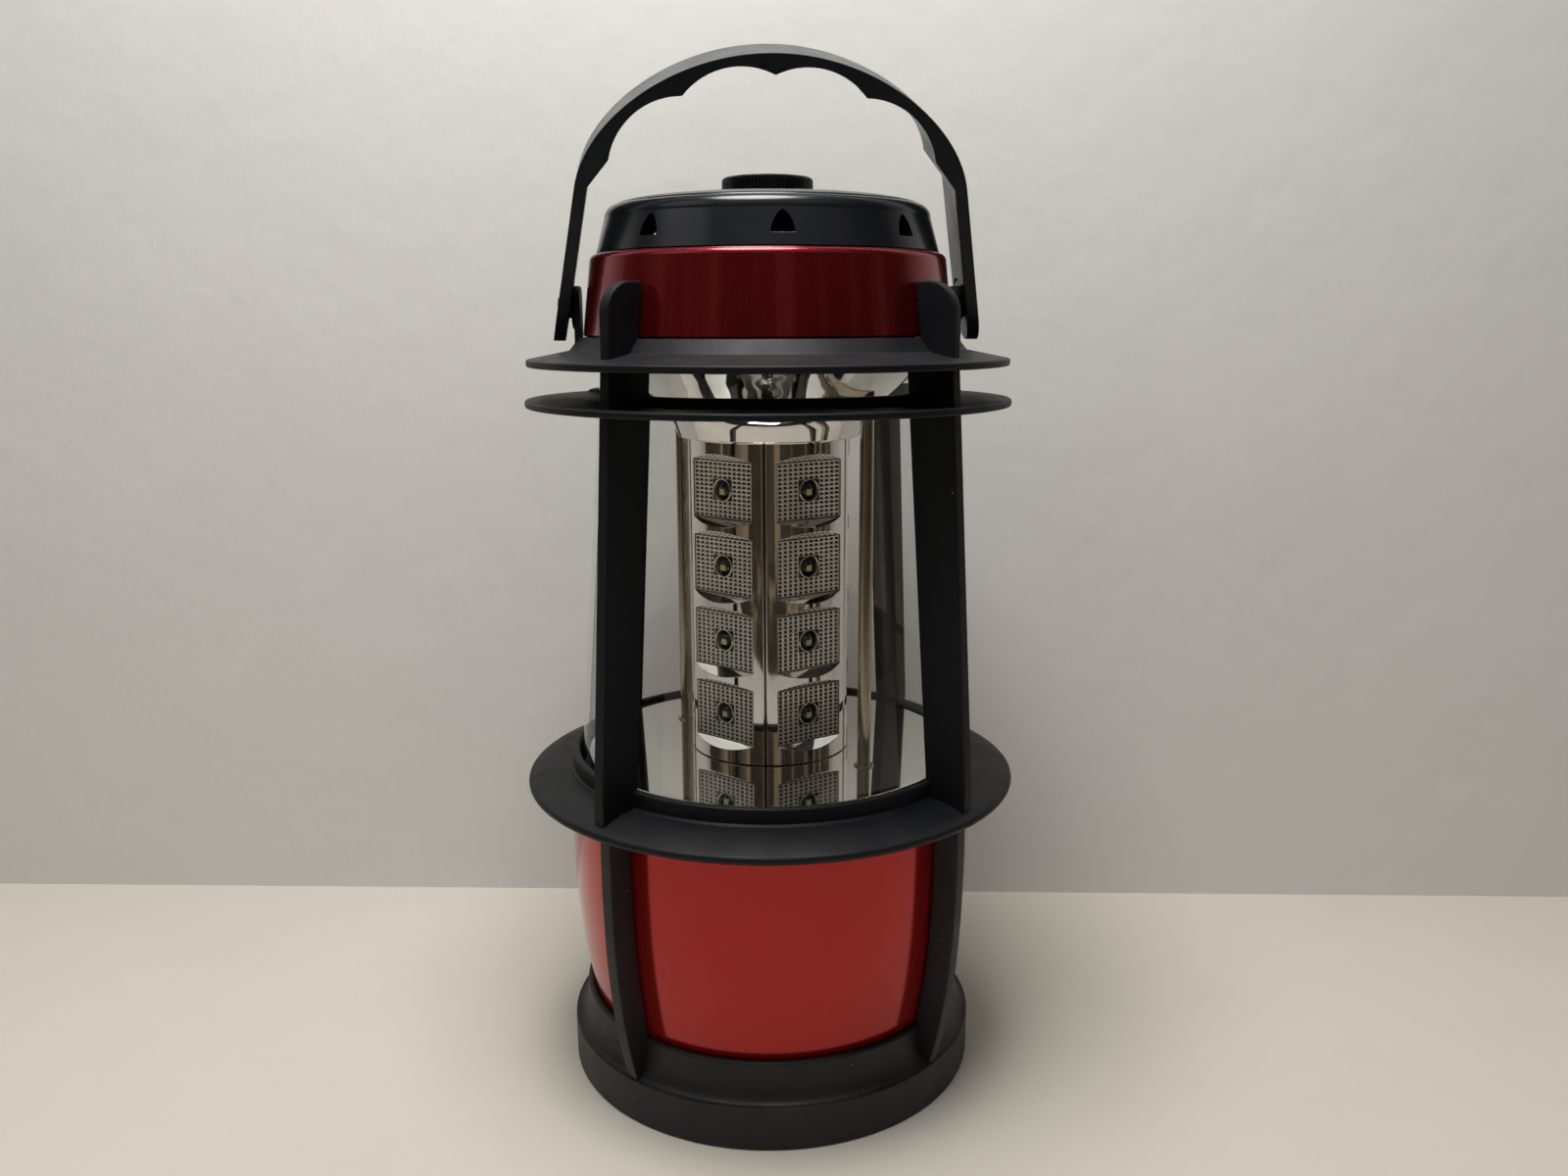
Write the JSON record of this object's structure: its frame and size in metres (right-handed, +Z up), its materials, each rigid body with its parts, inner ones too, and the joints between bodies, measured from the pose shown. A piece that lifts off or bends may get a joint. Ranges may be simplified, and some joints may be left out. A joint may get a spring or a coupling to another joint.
{
  "type": "camping lantern",
  "caption": "Battery camping lantern with a barrel base, clear tapered globe around a mirrored light tower, black guard cage, vented cap with a dimmer knob and a folding carrying bail.",
  "frame": {"origin": "centre of the foot ring, on the surface that the lantern stands on", "axes": "+Z up; the bail turns about X; -Y is the front, towards which the bail leans at rest"},
  "size_m": [0.152, 0.152, 0.3077],
  "materials": {
    "black_plastic": "fine grained, semi-matt",
    "gloss_black": "polished",
    "red_gloss": "polished",
    "red_metallic": "metallic lacquer",
    "clear_plastic": "clear, polished",
    "chrome": "vacuum-metallised",
    "nickel": "nickel plated",
    "rubber": "matt",
    "white_plastic": "as moulded",
    "circuit_board": "solder mask",
    "grey_metal": "satin",
    "brass": "bright",
    "lead_wire": "insulated wire"
  },
  "bodies": {
    "lantern": {"lower_guard": "black_plastic", "upper_guard": "black_plastic", "base_shell": "red_gloss", "battery_holder": "white_plastic", "dry_cell_1": "grey_metal", "dry_cell_2": "grey_metal", "dry_cell_3": "grey_metal", "dry_cell_4": "grey_metal", "cell_spring_1": "nickel", "cell_spring_2": "nickel", "cell_spring_3": "nickel", "cell_spring_4": "nickel", "cell_contact_1": "brass", "cell_contact_2": "brass", "contact_board": "circuit_board", "foot_screw_1": "nickel", "foot_screw_2": "nickel", "foot_screw_3": "nickel", "base_deck": "black_plastic", "bottom_mirror": "chrome", "globe": "clear_plastic", "globe_seal_lower": "rubber", "globe_seal_upper": "rubber", "led_core": "white_plastic", "reflector_segment_1": "chrome", "reflector_segment_2": "chrome", "reflector_segment_3": "chrome", "reflector_segment_4": "chrome", "reflector_segment_5": "chrome", "lens_strip_1": "clear_plastic", "lens_strip_2": "clear_plastic", "lens_strip_3": "clear_plastic", "lens_strip_4": "clear_plastic", "lens_strip_5": "clear_plastic", "led_strip_1": "circuit_board", "led_strip_2": "circuit_board", "led_strip_3": "circuit_board", "led_strip_4": "circuit_board", "led_strip_5": "circuit_board", "tie_rod_1": "nickel", "tie_rod_2": "nickel", "rod_nut_1": "nickel", "rod_nut_2": "nickel", "rod_nut_3": "nickel", "rod_nut_4": "nickel", "lead_wire_1": "lead_wire", "lead_wire_2": "lead_wire", "top_reflector": "chrome", "top_housing": "red_metallic", "vent_cap": "gloss_black", "dimmer_board": "circuit_board", "board_screw_1": "nickel", "board_screw_2": "nickel", "board_screw_3": "nickel", "potentiometer": "grey_metal"},
    "bail": {"bail_handle": "black_plastic"},
    "dimmer": {"dimmer_knob": "gloss_black", "pot_shaft": "nickel"},
    "cover": {"battery_cover": "black_plastic", "cover_gasket": "rubber"}
  },
  "joints": [
    {"name": "bail_hinge", "type": "hinge", "parent": "lantern", "child": "bail", "pos_m": [0, 0, 0.2367], "axis": [1, 0, 0], "range_deg": [-84, 48]},
    {"name": "dimmer_turn", "type": "hinge", "parent": "lantern", "child": "dimmer", "pos_m": [0, 0, 0.269], "axis": [0, 0, -1], "range_deg": [0, 270]},
    {"name": "cover_twist", "type": "hinge", "parent": "lantern", "child": "cover", "pos_m": [0, 0, 0.004], "axis": [0, 0, 1], "range_deg": [0, 30]}
  ]
}
